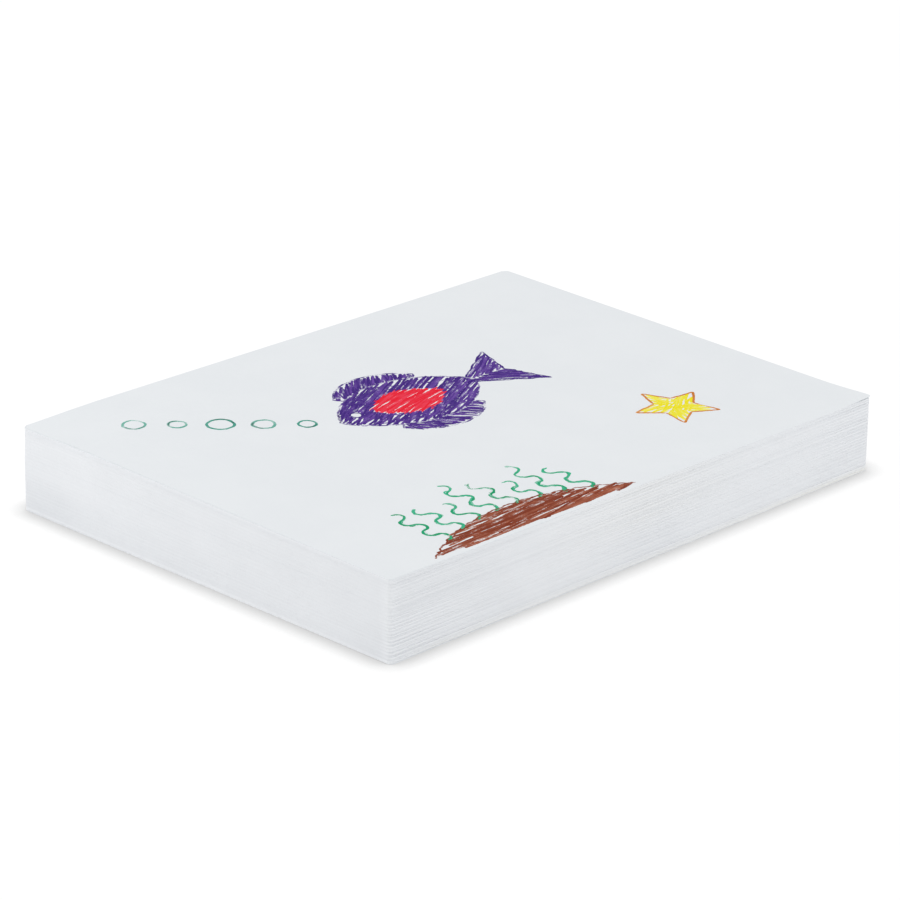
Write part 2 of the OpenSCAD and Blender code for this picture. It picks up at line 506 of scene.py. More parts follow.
@dataclass(frozen=True)
class Settling:
    """How the sheets lie: swell, tired back left corner, lifted bottom rim and raised top corner."""

    sizes: PackSizes
    droop: float = 0.9 * MM
    droop_reach: float = 42 * MM
    rim_lift: float = 0.05 * MM
    rim_reach: float = 4 * MM
    lift: float = 0.9 * MM
    lift_reach: float = 25 * MM

    def tilt(self, x: Array, y: Array) -> Array:
        """Height that the swell adds to the top of the pile.

        Args:
            x: Places along the long side.
            y: Places along the short side.

        Returns:
            The added height at each place.
        """
        return self.sizes.swell * (y / self.sizes.sheet_w - x / self.sizes.sheet_l)

    def sag(self, x: Array, y: Array) -> Array:
        """Drop of the top of the pile towards its back left corner.

        Args:
            x: Places along the long side.
            y: Places along the short side.

        Returns:
            The drop at each place.
        """
        away = np.hypot(x + self.sizes.sheet_l / 2, y - self.sizes.sheet_w / 2)
        return self.droop * blend(self.droop_reach, 0.0, away)

    def at(self, level: float, x: Array, y: Array) -> Array:
        """Height of a level surface of the settled pile.

        Args:
            level: Height of the surface in a pile without swell.
            x: Places along the long side.
            y: Places along the short side.

        Returns:
            The height at each place.
        """
        sizes = self.sizes
        share = (level - sizes.block_z) / (sizes.block_top - sizes.block_z)
        return level + share * self.tilt(x, y) - max(share, 0.0) ** 2 * self.sag(x, y)

    def rim(self, x: Array, y: Array) -> Array:
        """Lift of the lowest sheets along their rim, where they curl off the table.

        Args:
            x: Places along the long side.
            y: Places along the short side.

        Returns:
            The lift at each place.
        """
        inset = np.minimum(self.sizes.sheet_l / 2 - np.abs(x), self.sizes.sheet_w / 2 - np.abs(y))
        wave = 1.0 + 0.25 * np.sin(x * 55.0 + 0.6) + 0.2 * np.sin(y * 71.0 + 2.0)
        return self.rim_lift * wave * blend(self.rim_reach, 0.0, inset)

    def flick(self, x: Array, y: Array) -> Array:
        """Lift of the top sheet alone at its front right corner.

        Args:
            x: Places along the long side.
            y: Places along the short side.

        Returns:
            The lift at each place.
        """
        away = np.hypot(self.sizes.sheet_l / 2 - x, self.sizes.sheet_w / 2 + y)
        return self.lift * blend(self.lift_reach, 0.0, away)


@dataclass(frozen=True)
class SheetGrid:
    """Grid that every sheet is built on: close lines at the corners and wide ones between."""

    sizes: PackSizes
    steps: tuple[float, ...] = (3.0, 7.0, 15.0, 26.0, 42.0, 80.0)
    wear: float = 1.0

    def lines(self, length: float) -> Array:
        """Grid lines across one side.

        Args:
            length: Length of the side.

        Returns:
            Their places, from minus half the side to plus half of it.
        """
        radius = self.sizes.corner_r
        insets = [0.0, radius * 0.45, radius] + [step * MM for step in self.steps]
        left = [-length / 2 + inset for inset in insets]
        return np.array(left + [0.0] + [-place for place in reversed(left)])

    def flat(self, level: Array) -> tuple[Array, Array]:
        """Places of the grid's points on flat sheets with rounded corners.

        The back left corner is more worn towards the top of the pile.

        Args:
            level: Place of each sheet in the pile, from 0 to 1, as a column of its own.

        Returns:
            Their X and their Y, as sheets, rows along Y and columns along X.
        """
        xs, ys = np.meshgrid(self.lines(self.sizes.sheet_l), self.lines(self.sizes.sheet_w))
        radius = self.sizes.corner_r
        u = np.clip((np.abs(xs) - self.sizes.sheet_l / 2) / radius + 1.0, 0.0, 1.0)
        v = np.clip((np.abs(ys) - self.sizes.sheet_w / 2) / radius + 1.0, 0.0, 1.0)
        worn = 1.0 + self.wear * blend(0.55, 1.0, level) * ((xs < 0) & (ys > 0))
        in_x = radius * u * (np.sqrt(1.0 - v * v / 2) - 1.0) * worn
        in_y = radius * v * (np.sqrt(1.0 - u * u / 2) - 1.0) * worn
        return xs + np.sign(xs) * in_x, ys + np.sign(ys) * in_y


def closed_sheets(name: str, xs: Array, ys: Array, low: Array, high: Array) -> bpy.types.Object:
    """Builds closed sheets from grids of points.

    Args:
        name: Name of the piece.
        xs: X of the points, as sheets, rows and columns.
        ys: Y of the points.
        low: Height of the underside at each point.
        high: Height of the upper side at each point.

    Returns:
        The piece, one closed shell for each sheet.
    """
    count, rows, columns = xs.shape
    points = np.stack([np.stack([xs, ys, low], -1), np.stack([xs, ys, high], -1)], 1).reshape(-1, 3)
    index = np.arange(rows * columns).reshape(rows, columns)
    cells = np.stack([index[:-1, :-1], index[:-1, 1:], index[1:, 1:], index[1:, :-1]], -1).reshape(-1, 4)
    upper = cells + rows * columns
    lower = cells[:, ::-1]
    loop = np.concatenate([index[0, :-1], index[:-1, -1], index[-1, :0:-1], index[:0:-1, 0]])
    after = np.roll(loop, -1)
    rim = np.stack([loop, after, after + rows * columns, loop + rows * columns], -1)
    faces = np.concatenate([upper, lower, rim])
    steps = np.arange(count)[:, None, None] * (2 * rows * columns)
    faces = (faces[None] + steps).reshape(-1, 4)
    mesh = bpy.data.meshes.new(name)
    mesh.from_pydata(points.tolist(), [], faces.tolist())
    mesh.polygons.foreach_set("use_smooth", np.ones(len(faces), bool))
    mesh.update()
    mesh.set_sharp_from_angle(angle=math.radians(40))
    return new_object(name, mesh)


@dataclass
class Pile:
    """The sheets between the lowest one and the last two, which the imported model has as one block."""

    sizes: PackSizes
    settling: Settling
    grid: SheetGrid
    palette: Palette
    bundles: int = 3
    seed: int = 21
    step: float = 0.2 * MM
    jitter: float = 0.018 * MM
    group: tuple[int, int] = (5, 8)
    least_gap: float = 0.02
    group_gap: float = 0.3
    # Painted shade under each overhanging group and painted highlight on each crest, added to the tone of the
    # sheets' edges.
    painted_ledge_shade: float = 0.43
    painted_crest_highlight: float = 0.25

    def slips(self, count: int) -> tuple[Array, Array, Array]:
        """Deals the sheets into small groups that stand out or back in turn.

        Args:
            count: Number of sheets.

        Returns:
            How far each sheet stands out, its own small slip, and whether a group starts with it.
        """
        rng = random.Random(self.seed)
        out = np.zeros(count)
        start = np.zeros(count, bool)
        place, side = 0, 1.0
        while place < count:
            length = rng.randint(*self.group)
            out[place:place + length] = side * rng.uniform(0.35, 1.0)
            start[place] = True
            place += length
            side = -side
        own = np.array([rng.gauss(0.0, 1.0) for _ in range(count)])
        for _ in range(12):
            loose = rng.randrange(count)
            own[loose] += rng.choice((-3.5, 3.5, 5.0))
        return out, np.clip(own, -4.5, 5.5), start

    def spread(self, level: Array, xs: Array, ys: Array) -> Array:
        """How strongly the groups show along the walls.

        Args:
            level: Place of each sheet in the pile, from 0 to 1.
            xs: Places along the long side.
            ys: Places along the short side.

        Returns:
            The strength at each sheet and place, from 0 to 1.
        """
        half_l, half_w = self.sizes.sheet_l / 2, self.sizes.sheet_w / 2
        along, inward = xs + half_l, ys + half_w
        front = blend(0.085, 0.0, along + 18.0 * inward) * (0.45 + 0.55 * blend(0.62, 0.42, level))
        right = blend(0.06, 0.0, half_l - xs + 0.5 * inward) * (0.45 + 0.4 * blend(0.25, 0.4, level))
        middle = blend(0.07, 0.0, np.abs(xs)) * blend(0.02, 0.0, inward)
        middle = middle * (0.4 + 0.35 * blend(0.25, 0.45, level))
        low = 0.4 * blend(0.1, 0.06, level) * blend(0.02, 0.0, inward)
        back = 0.3 * blend(half_w - 0.02, half_w, ys) * blend(-half_l, -half_l + 0.02, xs)
        return 0.14 + 0.86 * np.clip(front + right + back + middle + low, 0.0, 1.0)

    def heights(self, xs: Array, ys: Array, gaps: Array) -> tuple[Array, Array]:
        """Shares the height of the pile out between the sheets and the air under each.

        Args:
            xs: X of the grid's points, as rows and columns.
            ys: Y of the grid's points.
            gaps: Air under each sheet at each point, in sheet thicknesses.

        Returns:
            The underside and the upper side of every sheet at each point.
        """
        count = len(gaps)
        bottom = self.sizes.block_z + self.settling.rim(xs, ys)
        top = self.settling.at(self.sizes.block_top, xs, ys)
        thick = (top - bottom) / (count + gaps.sum(0) + self.least_gap)
        low = bottom + thick * (np.cumsum(gaps, 0) + np.arange(count)[:, None, None])
        return low, low + thick

    def tones(self, out: Array, own: Array, strength: Array, xs: Array, ys: Array) -> Array:
        """Darkness of the sheets' edges, with painted shade and painted highlights in it.

        Args:
            out: How far each sheet stands out.
            own: Each sheet's own small difference.
            strength: How strongly the groups show at each sheet and point.
            xs: X of the grid's points.
            ys: Y of the grid's points.

        Returns:
            The darkness at each sheet and point, from 0 to 1.
        """
        level = np.linspace(0.0, 1.0, len(out))[:, None, None]
        # Painted shade on the sheets just under each overhanging group, and a painted highlight on the crest
        # of each group that stands out; the real steps add a little of both.
        ledge = -np.diff(out, append=out[-1])
        lines = np.zeros(len(out))
        for below, share in enumerate((1.0, 1.0, 0.6)):
            turned = np.roll(ledge, -below)
            dark, pale = np.clip(-turned, 0.0, 1.0), np.clip(turned, 0.0, 1.0)
            lines += share * (self.painted_ledge_shade * dark - self.painted_crest_highlight * pale)
        lines = lines[:, None, None] * strength
        from_left, from_front = xs + self.sizes.sheet_l / 2, ys + self.sizes.sheet_w / 2
        at_left, at_front = blend(0.004, 0.0, from_left), blend(0.004, 0.0, from_front)
        # Painted shade on both walls towards the front corner, stopping just short of the corner itself.
        painted_corner_shade_left = 0.22 * blend(0.11, 0.0, from_front) * at_left
        painted_corner_shade_right = 0.17 * blend(0.09, 0.0, from_left) * at_front * blend(0.4, 0.65, level)
        held = np.maximum(painted_corner_shade_left, painted_corner_shade_right) * blend(0.0015, 0.006, np.maximum(from_left, from_front))
        low_left = 0.22 * blend(0.65, 0.1, level) * blend(0.09, 0.2, from_front) * at_left
        # Painted light: the edges of the lowest sheets, by the table, and of the top few sheets are made
        # lighter against the shade there.
        clean = 0.22 * blend(0.06, 0.02, level) + 0.16 * blend(0.97, 1.0, level)
        faint = 0.28 + 0.03 * np.roll(own, 3)[:, None, None] - clean
        return np.clip(lines + held + low_left + faint, 0.0, 1.0)

    def build(self) -> None:
        """Builds the pile in a few pieces, each some tens of sheets high."""
        count = self.sizes.sheet_count - 3
        out, own, start = self.slips(count)
        level = np.linspace(0.0, 1.0, count)[:, None, None]
        flat_x, flat_y = self.grid.flat(level)
        strength = self.spread(level, flat_x, flat_y)
        rng = random.Random(self.seed + 1)
        wide = np.array([self.group_gap * rng.random() if first else 0.0 for first in start])[:, None, None]
        low, high = self.heights(flat_x[0], flat_y[0], self.least_gap + wide * strength)
        shift_y = -out[:, None, None] * strength * self.step + own[:, None, None] * self.jitter
        shift_x = -out[:, None, None] * 0.1 * self.step + np.roll(own, 7)[:, None, None] * self.jitter * 0.4
        xs = flat_x + shift_x
        ys = flat_y + shift_y
        tone = self.tones(out, own, strength, flat_x, flat_y)
        by_table = 0.42 * blend(-0.15, -0.12, flat_x) + 0.5 * blend(0.04, 0.12, flat_x)
        grubby = blend(0.09, 0.0, level) * by_table
        grubby += 0.3 * blend(0.06, 0.0, np.abs(flat_x)) * blend(0.3, 0.6, level)
        grubby *= (0.65 + 0.35 * np.sign(own))[:, None, None]
        # Red: the edges' darkness, painted light and shade included; green: dust.
        lines = np.stack([tone, 0.85 * np.clip(grubby, 0.0, 1.0)], -1)
        for number, part in enumerate(np.array_split(np.arange(count), self.bundles), 1):
            name = f"sheet_bundle_{number}"
            piece = closed_sheets(name, xs[part], ys[part], low[part], high[part])
            pair = np.repeat(lines[part].reshape(len(part), 1, -1, 2), 2, 1).reshape(-1, 2)
            values = np.c_[pair, np.zeros(len(pair)), np.ones(len(pair))]
            layer = piece.data.color_attributes.new(TONE, "FLOAT_COLOR", "POINT")
            layer.data.foreach_set("color", values.ravel())
            self.palette.dress(piece, Slot.EDGES, "sheet_block")


@dataclass
class LooseSheets:
    """The lowest sheet and the last two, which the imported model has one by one."""

    sizes: PackSizes
    settling: Settling
    grid: SheetGrid
    palette: Palette
    top_turn: float = -0.14
    top_slip: Point = (0.3, -0.15)
    under_turn: float = 0.12
    under_slip: Point = (-0.2, 0.0)
    bottom_turn: float = 0.08
    bottom_slip: Point = (0.0, -0.25)

    @staticmethod
    def placed(xs: Array, ys: Array, turn: float, slip: Point) -> tuple[Array, Array]:
        """Turns and slips a sheet in its own plane.

        Args:
            xs: X of the points.
            ys: Y of the points.
            turn: Turn in degrees.
            slip: Slip along X and Y in millimetres.

        Returns:
            The new X and Y.
        """
        angle = math.radians(turn)
        turned_x = xs * math.cos(angle) - ys * math.sin(angle) + slip[0] * MM
        turned_y = xs * math.sin(angle) + ys * math.cos(angle) + slip[1] * MM
        return turned_x, turned_y

    def surface(self, xs: Array, ys: Array) -> Array:
        """Height of the top sheet's upper side.

        Args:
            xs: X of the places.
            ys: Y of the places.

        Returns:
            The height at each place.
        """
        level = self.sizes.block_top + self.sizes.pitch
        return self.settling.at(level, xs, ys) + self.settling.flick(xs, ys) + self.sizes.sheet_t

    def build(self) -> None:
        """Builds the three sheets."""
        flat_x, flat_y = (part[0] for part in self.grid.flat(np.zeros((1, 1, 1))))
        thick = self.sizes.sheet_t
        xs, ys = self.placed(flat_x, flat_y, self.bottom_turn, self.bottom_slip)
        flat_x, flat_y = (part[0] for part in self.grid.flat(np.ones((1, 1, 1))))
        table = np.zeros_like(xs)
        piece = closed_sheets("lowest_sheet", xs[None], ys[None], table[None], (table + thick)[None])
        self.palette.dress(piece, Slot.PAPER, "bottom_sheet")
        xs, ys = self.placed(flat_x, flat_y, self.under_turn, self.under_slip)
        low = self.settling.at(self.sizes.block_top, xs, ys)
        piece = closed_sheets("second_sheet", xs[None], ys[None], low[None], (low + thick)[None])
        self.palette.dress(piece, Slot.PAPER, "under_sheet")
        xs, ys = self.placed(flat_x, flat_y, self.top_turn, self.top_slip)
        high = self.surface(xs, ys)
        piece = closed_sheets("drawn_sheet", xs[None], ys[None], (high - thick)[None], high[None])
        self.palette.dress(piece, Slot.PAPER, "top_sheet")


# Crayon strokes


@dataclass
class Stroke:
    """One pull of a crayon across the sheet."""

    path: Array
    width: float
    pressure: float
    tone: float


def lens(length: float, height: float, count: int = 28) -> Array:
    """Outline of two equal arcs, such as a fish's body.

    Args:
        length: Distance between the tips.
        height: Width at the middle.
        count: Number of points on each arc.

    Returns:
        The closed outline's points.
    """
    radius = (length * length + height * height) / (4 * height)
    half = math.asin(length / 2 / radius)
    angles = np.linspace(-half, half, count, endpoint=False)
    upper = np.stack([radius * np.sin(angles), radius * np.cos(angles) - radius + height / 2], -1)
    return np.concatenate([upper, -upper])


def distances(path: Array) -> Array:
    """Distance of each point of a path from its start, along the path.

    Args:
        path: Points of the path.

    Returns:
        The distances.
    """
    return np.r_[0.0, np.cumsum(np.hypot(*np.diff(path, axis=0).T))]


def resample(path: Array, step: float) -> Array:
    """Puts points at even distances along a path.

    Args:
        path: Points of the path.
        step: Wanted distance.

    Returns:
        The new points, both ends kept.
    """
    away = distances(path)
    count = max(2, int(round(away[-1] / step)) + 1)
    marks = np.linspace(0.0, away[-1], count)
    return np.stack([np.interp(marks, away, path[:, axis]) for axis in (0, 1)], -1)


def inside(outline: Array, points: Array) -> Array:
    """Tells which points lie in a closed outline.

    Args:
        outline: Corner points of the outline.
        points: Points to test.

    Returns:
        True for each point inside.
    """
    first, second = outline, np.roll(outline, -1, 0)
    x, y = points[:, :1], points[:, 1:]
    crosses = (first[:, 1] > y) != (second[:, 1] > y)
    rise = np.where(second[:, 1] == first[:, 1], 1e-12, second[:, 1] - first[:, 1])
    at = first[:, 0] + (y - first[:, 1]) / rise * (second[:, 0] - first[:, 0])
    return (crosses & (x < at)).sum(1) % 2 == 1


@dataclass
class Hand:
    """A child's hand with a crayon: it fills outlines to and fro, and it traces them."""

    seed: int
    strokes: list[Stroke] = field(default_factory=list)
    rng: random.Random = field(init=False)

    def __post_init__(self) -> None:
        """Seeds the hand's own unevenness."""
        self.rng = random.Random(self.seed)

    def wobble(self, path: Array, size: float, wave: float = 9.0) -> Array:
        """Shakes a path gently.

        Args:
            path: Points of the path.
            size: How far it strays.
            wave: Length of one shake.

        Returns:
            The shaken points.
        """
        rng = self.rng
        away = distances(path)
        shake = np.zeros_like(path)
        for axis in (0, 1):
            for part in (1.0, 0.45, 0.2):
                phase = rng.uniform(0.0, math.tau)
                length = wave * part * rng.uniform(0.8, 1.3)
                shake[:, axis] += part * np.sin(math.tau * away / length + phase)
        return path + shake * size * 0.6

    def pull(self, path: Array, width: float, pressure: float, tone: float = 0.6) -> None:
        """Draws one stroke.

        Args:
            path: Points of the stroke.
            width: Width of its mark.
            pressure: How much wax it leaves, from 0 to 1.
            tone: How deep its colour is, from 0 to 1.
        """
        rng = self.rng
        span = float(np.hypot(*np.diff(path, axis=0).T).sum())
        if span > width * 0.8:
            width = width * rng.uniform(0.82, 1.14)
            deep = tone + rng.uniform(-0.26, 0.22)
            self.strokes.append(Stroke(path, width, pressure + rng.uniform(-0.1, 0.1), deep))

    def trace(
        self,
        outline: Array,
        width: float,
        pressure: float,
        size: float,
        closed: bool = True,
        keep_out: Sequence[Array] = (),
    ) -> None:
        """Traces a line or an outline with a shaky hand.

        Args:
            outline: Points of the line.
            width: Width of the mark.
            pressure: How much wax it leaves.
            size: How far it strays.
            closed: Whether the line comes back to its start and runs on a little.
            keep_out: Outlines that the line stops at.
        """
        path = outline
        if closed:
            extra = max(2, len(outline) // 14)
            path = np.concatenate([outline, outline[:extra]])
        path = self.wobble(resample(path, 0.9), size)
        for piece in self.outside(path, keep_out):
            self.pull(piece, width, pressure, 0.7)

    def fill(
        self,
        outline: Array,
        angle: float,
        gap: float,
        width: float,
        pressure: float,
        slack: float = 0.8,
        keep_out: Sequence[Array] = (),
    ) -> None:
        """Fills an outline with strokes to and fro.

        Args:
            outline: Points of a closed outline.
            angle: Direction of the strokes in degrees.
            gap: Distance from one stroke to the next.
            width: Width of the mark.
            pressure: How much wax it leaves.
            slack: How unevenly the strokes end.
            keep_out: Outlines that the strokes stop at.
        """
        rng = self.rng
        turn = math.radians(angle)
        along = np.array([math.cos(turn), math.sin(turn)])
        across = np.array([-along[1], along[0]])
        corners = np.stack([outline @ along, outline @ across], -1)
        first, second = corners, np.roll(corners, -1, 0)
        ends: list[Array] = []
        height = corners[:, 1].min() + gap * 0.35
        side = 0
        while height < corners[:, 1].max() - gap * 0.2:
            cross = (first[:, 1] > height) != (second[:, 1] > height)
            if cross.any():
                share = (height - first[cross, 1]) / (second[cross, 1] - first[cross, 1])
                hits = first[cross, 0] + share * (second[cross, 0] - first[cross, 0])
                reach = hits.min() if side == 0 else hits.max()
                inward = 1.0 if side == 0 else -1.0
                reach += inward * (width * 0.3 + rng.uniform(-0.75, 0.9) * slack)
                ends.append(along * reach + across * (height + rng.uniform(-0.2, 0.2) * gap))
            side = 1 - side
            height += gap / 2 * rng.uniform(0.6, 1.4)
        bow = rng.uniform(-0.05, 0.05)
        for here, there in zip(ends, ends[1:]):
            share = np.linspace(0.0, 1.0, 9)[:, None]
            span = float(np.hypot(*(there - here)))
            path = here + (there - here) * share
            path = path + across * (4 * share * (1 - share) * span * (bow + rng.uniform(-0.012, 0.012)))
            path = self.wobble(resample(path, 0.9), 0.12, 14.0)
            for piece in self.outside(path, keep_out):
                self.pull(piece, width, pressure)

    def outside(self, path: Array, keep_out: Sequence[Array]) -> list[Array]:
        """Cuts a path where it runs into outlines.

        Args:
            path: Points of the path.
            keep_out: The outlines.

        Returns:
            The pieces that stay.
        """
        held = np.ones(len(path), bool)
        for outline in keep_out:
            held &= ~inside(outline, path)
        pieces: list[Array] = []
        run: list[Array] = []
        for point, stays in zip(path, held):
            if stays:
                run.append(point)
                continue
            if len(run) > 2:
                pieces.append(np.array(run))
            run = []
        if len(run) > 2:
            pieces.append(np.array(run))
        return pieces


@dataclass
class WaxLayer:
    """Turns the strokes of one crayon into thin closed ribbons on the top sheet."""

    name: str
    slot: Slot
    node: str
    sheets: LooseSheets
    palette: Palette
    seed: int = 5
    edge_step: float = 0.75
    cell: float = 0.9

    def stations(self, stroke: Stroke, rng: random.Random) -> tuple[Array, ...]:
        """Cuts a stroke into stations with rounded ends.

        Args:
            stroke: The stroke.
            rng: Source of the ragged edge.

        Returns:
            Middle points, left and right half widths, side directions, and distances from the nearer end.
        """
        path = resample(stroke.path, self.edge_step)
        away = distances(path)
        radius = min(stroke.width / 2, away[-1] * 0.45)
        inner = np.linspace(radius, away[-1] - radius, max(2, len(path) - 2))
        marks = np.concatenate([[0.0, radius * 0.3], inner, [away[-1] - radius * 0.3, away[-1]]])
        middle = np.stack([np.interp(marks, away, path[:, axis]) for axis in (0, 1)], -1)
        ahead = np.gradient(middle, axis=0)
        ahead /= np.maximum(np.hypot(*ahead.T), 1e-9)[:, None]
        side = np.stack([-ahead[:, 1], ahead[:, 0]], -1)
        end = np.minimum(marks, away[-1] - marks)
        taper = np.sqrt(np.clip(1.0 - (1.0 - np.clip(end / radius, 0.0, 1.0)) ** 2, 0.04, 1.0))
        tail = np.clip((away[-1] - marks) / (radius * rng.uniform(1.0, 4.5)), 0.0, 1.0)
        half = stroke.width / 2 * taper * (0.3 + 0.7 * np.sqrt(tail))
        left = half * np.array([1.0 + rng.uniform(-0.2, 0.14) for _ in marks])
        right = half * np.array([1.0 + rng.uniform(-0.2, 0.14) for _ in marks])
        return middle, left, right, side, end

    def layers(self, laid: dict[tuple[int, int], int], middle: Array) -> Array:
        """Counts the wax that earlier strokes left under a new one, and adds the new one to it.

        Args:
            laid: Number of strokes so far in each small cell of the sheet.
            middle: Middle points of the new stroke.

        Returns:
            The number of earlier strokes at each point.
        """
        cells = [(int(x // self.cell), int(y // self.cell)) for x, y in middle]
        under = np.array([laid.get(cell, 0) for cell in cells], float)
        for cell in set(cells):
            laid[cell] = laid.get(cell, 0) + 1
        return np.convolve(np.pad(under, 2, mode="edge"), np.full(5, 0.2), mode="valid")

    def build(self, strokes: Sequence[Stroke]) -> None:
        """Builds the piece.

        Args:
            strokes: The strokes in the order they are drawn.
        """
        rng = random.Random(self.seed)
        points, heights, colours, faces = [], [], [], []
        laid: dict[tuple[int, int], int] = {}
        base = 0
        for stroke in strokes:
            middle, left, right, side, end = self.stations(stroke, rng)
            count = len(middle)
            under = np.minimum(self.layers(laid, middle), 3.0)
            thick = self.sheets.sizes.wax_t * rng.uniform(0.45, 0.92)
            crown = np.minimum(thick, thick * (0.35 + end / stroke.width * 2))
            spots = (-1.0, -0.62, 0.62, 1.0)
            for spot in spots:
                reach = np.where(spot < 0, left, right) * spot
                points.append(middle + side * reach[:, None])
                heights.append(crown if abs(spot) < 1 else np.zeros(count))
                colour = np.ones((count, 4))
                shake = np.sin(np.arange(count) * 0.35 + stroke.tone * 40)
                colour[:, 0] = stroke.pressure + 0.07 * shake + 0.08 * under
                colour[:, 1] = np.clip(stroke.tone + 0.06 * shake + 0.12 * under, 0.0, 1.0)
                colour[:, 2] = abs(spot)
                colours.append(colour)
            for step in range(count - 1):
                for lane in range(4):
                    here, there = base + lane * count + step, base + (lane + 1) % 4 * count + step
                    faces.append((here, here + 1, there + 1, there))
            ends = [base + lane * count for lane in range(4)]
            faces.append(tuple(ends))
            faces.append(tuple(end_point + count - 1 for end_point in reversed(ends)))
            base += 4 * count
        flat = np.concatenate(points) * MM
        xs, ys = self.sheets.placed(flat[:, 0], flat[:, 1], self.sheets.top_turn, self.sheets.top_slip)
        zs = self.sheets.surface(xs, ys) + np.concatenate(heights)
        mesh = bpy.data.meshes.new(self.name)
        mesh.from_pydata(np.stack([xs, ys, zs], -1).tolist(), [], faces)
        layer = mesh.color_attributes.new(WAX, "FLOAT_COLOR", "POINT")
        layer.data.foreach_set("color", np.concatenate(colours).ravel())
        mesh.update()
        self.palette.dress(new_object(self.name, mesh), self.slot, self.node)


@dataclass
class CrayonDrawing:
    """A child's sea scene on the top sheet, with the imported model's fields as its outlines."""

    sheets: LooseSheets
    palette: Palette
    fish: Point = (-6.0, 22.0)
    body: tuple[float, float] = (84.0, 48.0)
    tail_l: float = 27.0
    tail_h: float = 44.0
    tail_notch: float = 8.0
    tail_root: float = 8.0
    fin: tuple[float, float] = (50.0, 11.0)
    patch: tuple[float, float] = (44.0, 27.0)
    eye_d: float = 5.0
    eye: Point = (12.0, 3.0)
    bubble_count: int = 5
    bubble_d: float = 8.0
    bubble_grow: float = 2.0
    bubble_gap: float = 19.0
    bubble_rise: float = 41.0
    bubble_start: float = 15.0
    bed_x: float = -62.0
    bed_y: float = -111.3
    bed: tuple[float, float] = (122.0, 20.0)
    stem_count: int = 8
    weed_row: float = 86.0
    weed_r: float = 3.4
    bend_count: int = 5
    star: Point = (78.0, -62.0)
    star_r: float = 21.0
    hollow_r: float = 10.0
    line_w: float = 1.5

    def layer(self, name: str, slot: Slot, node: str, hand: Hand) -> None:
        """Builds one colour's piece from a hand's strokes.

        Args:
            name: Name of the piece.
            slot: Slot of the colour.
            node: CAD node that it stands for.
            hand: The hand that drew it.
        """
        WaxLayer(name, slot, node, self.sheets, self.palette, hand.seed).build(hand.strokes)

    def circle(self, centre: Point, radius: float, start: float = 0.0, turns: float = 1.0) -> Array:
        """Points round a circle.

        Args:
            centre: Its centre.
            radius: Its radius.
            start: Angle of the first point in degrees.
            turns: How many times round.

        Returns:
            The points.
        """
        angles = math.radians(start) + np.linspace(0.0, math.tau * turns, int(30 * turns) + 1)
        return np.array(centre) + radius * np.stack([np.cos(angles), np.sin(angles)], -1)

    def draw_fish(self) -> None:
        """Draws the fish and the patch on its side."""
        at = np.array(self.fish)
        half_l = self.body[0] / 2
        body = lens(*self.body) + at
        patch = lens(*self.patch) + at
        eye_at = (self.fish[0] + self.eye[0] - half_l, self.fish[1] + self.eye[1])
        eye = self.circle(eye_at, self.eye_d / 2 + 0.3)
        hand = Hand(31)
        inner = lens(self.patch[0] - 3.0, self.patch[1] - 3.0) + at
        hand.trace(body, 1.2, 0.5, 0.5)
        hand.fill(body, 24.0, 2.3, 1.45, 0.62, 1.6, (inner, eye))
        hand.fill(body, 31.0, 2.9, 1.35, 0.6, 2.2, (inner, eye))
        hand.fill(body, 150.0, 13.0, 1.3, 0.56, 3.0, (inner, eye))
        for side in (1.0, -1.0):
            fin = lens(self.fin[0], 2 * (self.fin[1] + self.line_w)) + at
            fin = fin + [0.0, (self.body[1] / 2 - self.line_w) * side]
            hand.trace(fin, 1.1, 0.5, 0.35, keep_out=(body,))
            hand.fill(fin, 48.0 * side, 2.0, 1.4, 0.6, 1.2, (body,))
            hand.fill(fin, 60.0 * side, 3.0, 1.3, 0.58, 1.8, (body,))
        root_x = half_l - self.tail_root
        tail_x = half_l + self.tail_l
        tips = [(root_x, 0.0), (tail_x, self.tail_h / 2), (tail_x - self.tail_notch, 0.0)]
        upper = np.array(tips) + at
        lower = upper * [1.0, -1.0] + [0.0, 2 * at[1]]
        tail = np.array([tips[0], tips[1], tips[2], (tips[1][0], -tips[1][1]), tips[0]]) + at
        hand.trace(tail, 1.2, 0.56, 0.4, closed=False)
        for half, turn in ((upper, 1.0), (lower, -1.0)):
            hand.fill(half, 34.0 * turn, 2.0, 1.45, 0.62, 1.2)
            hand.fill(half, 27.0 * turn, 3.0, 1.35, 0.6, 1.8)
        hand.trace(eye, 1.0, 0.7, 0.12)
        self.layer("fish_strokes", Slot.PURPLE, "crayon_fish", hand)
        hand = Hand(32)
        hand.fill(patch, 12.0, 2.1, 1.5, 0.72, 2.2)
        hand.fill(patch, 20.0, 3.0, 1.4, 0.68, 3.0)
        self.layer("patch_strokes", Slot.RED, "crayon_fish_patch", hand)

    def draw_bubbles(self) -> None:
        """Draws the rings that rise from the fish's mouth."""
        hand = Hand(33)
        rise = math.radians(self.bubble_rise)
        for number in range(self.bubble_count):
            away = self.bubble_start + number * self.bubble_gap
            x = self.fish[0] - self.body[0] / 2 - away * math.cos(rise)
            y = self.fish[1] + away * math.sin(rise)
            radius = (self.bubble_d + number % 3 * self.bubble_grow) / 2
            start = hand.rng.uniform(0.0, 360.0)
            path = self.circle((x, y), radius, start, 1.35)
            path = hand.wobble(path, 0.28, 12.0)
            hand.pull(path, 1.3, 0.62, 0.6)
        self.layer("bubble_strokes", Slot.TEAL, "crayon_bubbles", hand)

    def bed_top(self, x: float) -> float:
        """Height of the sea bed's upper edge above its foot.

        Args:
            x: Place from the middle of the bed.

        Returns:
            The height.
        """
        length, height = self.bed[0], self.bed[1] * 2
        radius = (length * length + height * height) / (4 * height)
        return math.sqrt(radius * radius - x * x) - radius + height / 2

